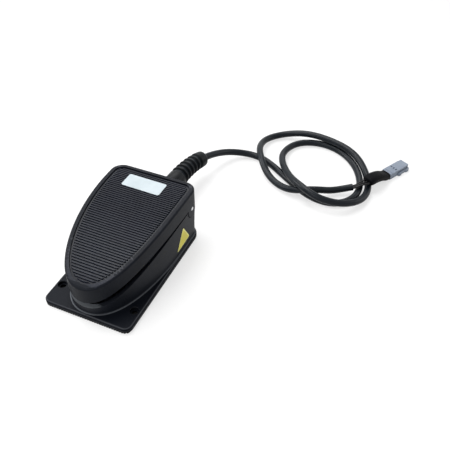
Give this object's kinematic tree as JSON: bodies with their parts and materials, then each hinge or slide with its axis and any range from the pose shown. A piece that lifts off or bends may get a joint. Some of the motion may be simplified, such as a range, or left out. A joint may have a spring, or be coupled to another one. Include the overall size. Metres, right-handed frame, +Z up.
{
  "type": "foot switch",
  "caption": "Industrial foot switch: hinged ribbed treadle over a moulded housing on a base plate, with a sprung toe, inner snap switch, ribbed cable boot, looped lead and inline connector.",
  "frame": {"origin": "bottom centre of the base plate with its mat, midway between toe and heel", "axes": "+Z up, +Y towards the heel where the lead leaves, -Y the toe that is pressed, +X the right side seen from above with the toe away from the cable"},
  "size_m": [0.251, 0.3282, 0.0602],
  "materials": {
    "body_plastic": "fine grained",
    "black_rubber": "matt",
    "jacket_rubber": "satin",
    "zinc_steel": "zinc plated",
    "label_stock": "satin",
    "switch_case": "satin",
    "plunger_red": "glossy",
    "roller_nylon": "satin",
    "wire_insulation": "satin",
    "brass": "tinned",
    "connector_grey": "moulded"
  },
  "bodies": {
    "base": {"base_plate": "body_plastic", "rubber_mat": "black_rubber", "base_screws": "zinc_steel", "housing": "body_plastic", "pivot_pin": "zinc_steel", "pivot_clips": "zinc_steel", "return_spring": "zinc_steel", "spring_cup": "body_plastic", "travel_buffer": "black_rubber", "switch_body": "switch_case", "switch_terminals": "brass", "switch_bracket": "zinc_steel", "bracket_screws": "zinc_steel", "switch_screws": "zinc_steel", "inner_wires": "wire_insulation", "cable_tail": "jacket_rubber", "cable_clamp": "body_plastic", "clamp_screws": "zinc_steel", "gland_body": "body_plastic", "gland_locknut": "body_plastic", "gland_nut": "body_plastic", "cable_boot": "black_rubber", "cable": "jacket_rubber", "plug_wires": "wire_insulation", "plug_sleeve": "black_rubber", "plug_housing": "connector_grey", "plug_contacts": "brass"},
    "treadle": {"treadle": "body_plastic", "label_plate": "label_stock", "actuator_screw": "zinc_steel"},
    "lever": {"switch_lever": "zinc_steel", "lever_roller": "roller_nylon"},
    "plunger": {"switch_plunger": "plunger_red"}
  },
  "joints": [
    {"name": "treadle_pivot", "type": "hinge", "parent": "base", "child": "treadle", "pos_m": [0, 0.054, 0.042], "axis": [1, 0, 0], "range_deg": [0, 3.5], "stiffness_Nm_per_rad": 10, "springref_deg": -5.73, "deforming": ["return_spring"]},
    {"name": "lever_pivot", "type": "hinge", "parent": "base", "child": "lever", "pos_m": [0, 0.0265, 0.0362], "axis": [1, 0, 0], "range_deg": [0, 6.2]},
    {"name": "plunger_slide", "type": "slide", "parent": "base", "child": "plunger", "axis": [0, 0, -1], "range_m": [0, 0.00135]}
  ],
  "couplings": [
    {"joint": "lever_pivot", "follows": "treadle_pivot", "ratio": 1.76},
    {"joint": "plunger_slide", "follows": "treadle_pivot", "m_per_rad": 0.022}
  ]
}
